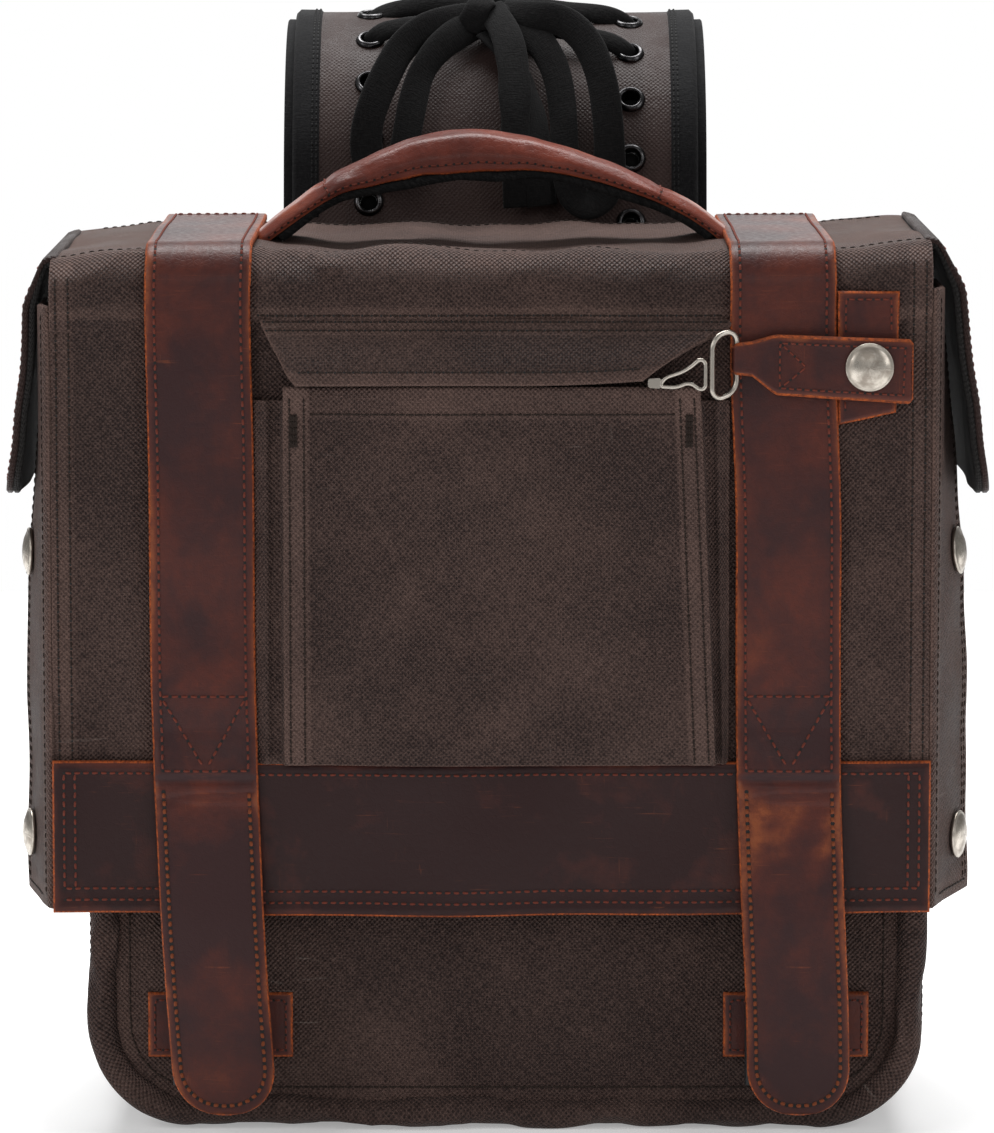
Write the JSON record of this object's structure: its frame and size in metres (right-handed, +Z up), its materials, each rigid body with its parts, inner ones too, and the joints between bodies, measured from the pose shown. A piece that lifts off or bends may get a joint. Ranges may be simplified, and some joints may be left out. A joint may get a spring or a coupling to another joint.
{
  "type": "saddlebag",
  "caption": "Throw-over motorcycle saddlebag in waxed canvas: hinged lid with leather straps, front pocket, carry handle, side wings and a laced rear yoke.",
  "frame": {"origin": "middle of the flat base, on the face that the bag stands on", "axes": "+Z up; the front with the pocket and straps faces -Y, and the flat back with the yoke faces +Y; +X is to the viewer's right from the front"},
  "size_m": [0.359, 0.2673, 0.4101],
  "materials": {
    "waxed_canvas": "waxed plain-weave canvas, dull with a faint wax sheen",
    "yoke_canvas": "coated canvas, smooth and slightly satin",
    "lining_cloth": "thin dark woven lining, matt",
    "oiled_leather": "oiled pull-up leather, satin, worn redder at edges",
    "webbing": "black woven webbing, matt",
    "black_binding": "black woven binding tape, matt",
    "black_lace": "flat black woven lace, matt",
    "board": "plain stiffening board, matt",
    "foam": "soft foam padding, matt",
    "black_plastic": "moulded black nylon, fine texture",
    "snap_metal": "aged nickel, satin",
    "eyelet_metal": "black-nickel plated, bright where rubbed",
    "wire_metal": "aged nickel wire, satin"
  },
  "bodies": {
    "body": {"body_front_panel": "waxed_canvas", "body_front_roll": "waxed_canvas", "body_gusset": "waxed_canvas", "body_back_panel": "waxed_canvas", "body_rear_piping": "black_binding", "body_rim_binding": "black_binding", "body_lining": "lining_cloth", "back_stiffener": "board", "base_stiffener": "board", "anchor_webbing": "webbing", "anchor_patch_left": "oiled_leather", "anchor_patch_right": "oiled_leather", "buckle_socket_left": "black_plastic", "buckle_socket_right": "black_plastic", "side_snap_studs": "snap_metal", "yoke_mounting_panel": "yoke_canvas"},
    "lid": {"lid_top_panel": "waxed_canvas", "lid_front_panel": "waxed_canvas", "lid_band": "oiled_leather", "strap_upper_left": "oiled_leather", "strap_upper_right": "oiled_leather", "pocket_panel": "waxed_canvas", "pocket_bellows": "waxed_canvas", "key_tab_base": "oiled_leather", "handle_end_left": "oiled_leather", "handle_end_right": "oiled_leather", "buckle_webbing": "webbing", "wing_root_left": "waxed_canvas", "wing_root_right": "waxed_canvas"},
    "wing_left": {"wing_left": "waxed_canvas", "wing_snaps_left": "snap_metal"},
    "wing_right": {"wing_right": "waxed_canvas", "wing_snaps_right": "snap_metal"},
    "ear_left": {"ear_left": "waxed_canvas", "ear_lining_left": "lining_cloth"},
    "ear_right": {"ear_right": "waxed_canvas", "ear_lining_right": "lining_cloth"},
    "pocket_flap": {"pocket_flap": "waxed_canvas"},
    "handle": {"handle_leather": "oiled_leather", "handle_core": "foam", "handle_webbing": "webbing"},
    "key_tab": {"key_tab": "oiled_leather", "key_tab_cap": "snap_metal"},
    "clip": {"clip_ring": "wire_metal", "wire_clip": "wire_metal"},
    "tail_left": {"strap_tail_left": "oiled_leather"},
    "tail_right": {"strap_tail_right": "oiled_leather"},
    "plug_left": {"buckle_plug_left": "black_plastic"},
    "plug_right": {"buckle_plug_right": "black_plastic"},
    "yoke": {"yoke_panel": "yoke_canvas", "yoke_backing": "black_binding", "yoke_binding": "black_binding", "yoke_eyelets": "eyelet_metal", "lace_rungs": "black_lace", "lace_knot": "black_lace", "lace_loop_left": "black_lace", "lace_loop_right": "black_lace", "lace_end_left": "black_lace", "lace_end_right": "black_lace"}
  },
  "joints": [
    {"name": "lid_hinge", "type": "hinge", "parent": "body", "child": "lid", "pos_m": [0, 0.07, 0.3222], "axis": [-1, 0, 0], "range_deg": [0, 60]},
    {"name": "strap_tail_left", "type": "hinge", "parent": "lid", "child": "tail_left", "pos_m": [-0.1036, -0.0866, 0.1332], "axis": [-1, 0, 0], "range_deg": [0, 110]},
    {"name": "strap_tail_right", "type": "hinge", "parent": "lid", "child": "tail_right", "pos_m": [0.108, -0.0866, 0.1332], "axis": [-1, 0, 0], "range_deg": [0, 110]},
    {"name": "buckle_plug_left", "type": "slide", "parent": "lid", "child": "plug_left", "axis": [0, 0, -1], "range_m": [0, 0.014]},
    {"name": "buckle_plug_right", "type": "slide", "parent": "lid", "child": "plug_right", "axis": [0, 0, -1], "range_m": [0, 0.014]},
    {"name": "wing_left", "type": "hinge", "parent": "lid", "child": "wing_left", "pos_m": [-0.1605, -0.0798, 0.156], "axis": [0, 0, 1], "range_deg": [0, 70], "stiffness_Nm_per_rad": 0.02},
    {"name": "wing_right", "type": "hinge", "parent": "lid", "child": "wing_right", "pos_m": [0.1605, -0.0798, 0.156], "axis": [0, 0, -1], "range_deg": [0, 70], "stiffness_Nm_per_rad": 0.02},
    {"name": "ear_left", "type": "hinge", "parent": "lid", "child": "ear_left", "pos_m": [-0.1605, 0, 0.3273], "axis": [0, 1, 0], "range_deg": [0, 110]},
    {"name": "ear_right", "type": "hinge", "parent": "lid", "child": "ear_right", "pos_m": [0.1605, 0, 0.3273], "axis": [0, -1, 0], "range_deg": [0, 110]},
    {"name": "pocket_flap_hinge", "type": "hinge", "parent": "lid", "child": "pocket_flap", "pos_m": [0, -0.0812, 0.2996], "axis": [-1, 0, 0], "range_deg": [0, 120]},
    {"name": "handle_tilt", "type": "hinge", "parent": "lid", "child": "handle", "pos_m": [0, 0, 0.3285], "axis": [1, 0, 0], "range_deg": [-30, 30], "stiffness_Nm_per_rad": 0.08},
    {"name": "key_tab_swivel", "type": "hinge", "parent": "lid", "child": "key_tab", "pos_m": [0.1363, -0.086, 0.2846], "axis": [0, -1, 0], "range_deg": [0, 25]},
    {"name": "ring_turn", "type": "hinge", "parent": "key_tab", "child": "clip", "pos_m": [0.0886, -0.0847, 0.284], "axis": [0, 0, 1], "range_deg": [0, 60]},
    {"name": "yoke_bend", "type": "hinge", "parent": "body", "child": "yoke", "pos_m": [0, 0.0806, 0.3228], "axis": [-1, 0, 0], "range_deg": [0, 70]}
  ]
}
